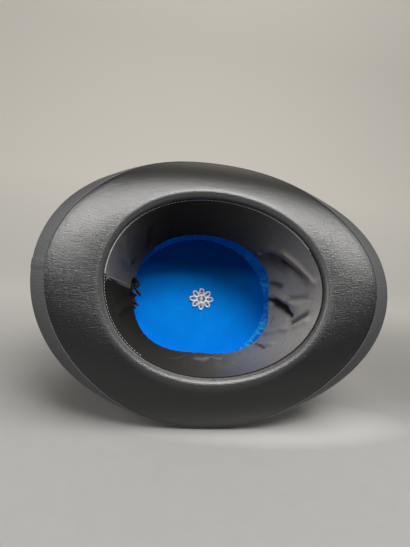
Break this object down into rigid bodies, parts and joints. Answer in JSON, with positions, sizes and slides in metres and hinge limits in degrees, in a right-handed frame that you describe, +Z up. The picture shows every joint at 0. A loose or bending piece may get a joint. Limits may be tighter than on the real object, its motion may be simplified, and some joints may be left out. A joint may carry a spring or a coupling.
{
  "type": "satin top hat",
  "caption": "Black satin top hat on its side, with a curled brim bound in ribbed ribbon, a loose black side lining and a blue satin tip lining.",
  "frame": {"origin": "middle of the lying hat's box, on the table", "axes": "+X to the hat's front, +Z up; the hat lies on one side and its tip points along +Y and down"},
  "size_m": [0.312, 0.1942, 0.2395],
  "materials": {
    "black_satin": "satin",
    "ribbed_ribbon": "matte",
    "black_lining": "satin",
    "blue_lining": "satin",
    "silver_metal": "polished"
  },
  "bodies": {
    "root": {"brim": "black_satin", "brim_binding": "ribbed_ribbon", "crown_side": "black_satin", "crown_tip": "black_satin", "hat_band": "ribbed_ribbon", "side_lining": "black_lining", "lining_band": "blue_lining", "tip_lining": "blue_lining", "emblem": "silver_metal", "lining_bow": "black_lining"}
  },
  "joints": []
}
